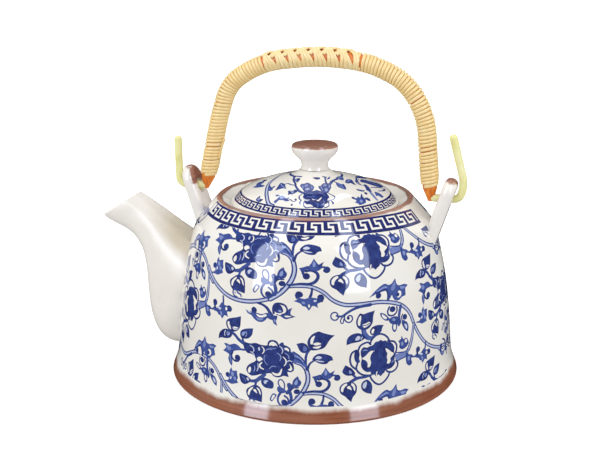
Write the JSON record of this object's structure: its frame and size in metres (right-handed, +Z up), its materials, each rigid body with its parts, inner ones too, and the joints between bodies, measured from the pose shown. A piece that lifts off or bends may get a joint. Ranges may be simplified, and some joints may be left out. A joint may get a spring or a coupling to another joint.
{
  "type": "teapot",
  "caption": "Bell-shaped glazed ceramic teapot with peony-scroll and key-fret bands, brown edges, short spout, domed lift-off lid and a cane-wrapped swing bail on two lugs.",
  "frame": {"origin": "centre of the foot ring, on the surface that the pot stands on", "axes": "+Z up along the pot's axis; -X towards the spout; the bail pivots about an axis parallel to X"},
  "size_m": [0.1814, 0.1406, 0.1563],
  "materials": {
    "printed_glaze": "clear glaze over blue under-glaze print, brown foot and lip",
    "plain_glaze": "clear glaze on a warm white body",
    "lug_glaze": "clear glaze with brown tops",
    "lid_glaze": "clear glaze over blue under-glaze print",
    "knob_glaze": "clear glaze with a brown top",
    "core_cane": "orange stained cane",
    "hook_plastic": "pale yellow-green, slightly translucent",
    "wrap_cane": "split cane winding, satin",
    "braid_cane": "split cane braid, satin"
  },
  "bodies": {
    "pot": {"pot_body": "printed_glaze", "pot_floor": "plain_glaze", "spout": "plain_glaze", "front_lug": "lug_glaze", "rear_lug": "lug_glaze"},
    "lid": {"lid": "lid_glaze", "lid_knob": "knob_glaze"},
    "bail": {"bail_core": "core_cane", "front_hook": "hook_plastic", "rear_hook": "hook_plastic", "front_wrap": "wrap_cane", "rear_wrap": "wrap_cane", "top_braid": "braid_cane"}
  },
  "joints": [
    {"name": "lid_lift", "type": "slide", "parent": "pot", "child": "lid", "axis": [0, 0, 1], "range_m": [0, 0.032]},
    {"name": "bail_swing", "type": "hinge", "parent": "pot", "child": "bail", "pos_m": [0, 0, 0.0882], "axis": [1, 0, 0], "range_deg": [-90, 90]}
  ]
}
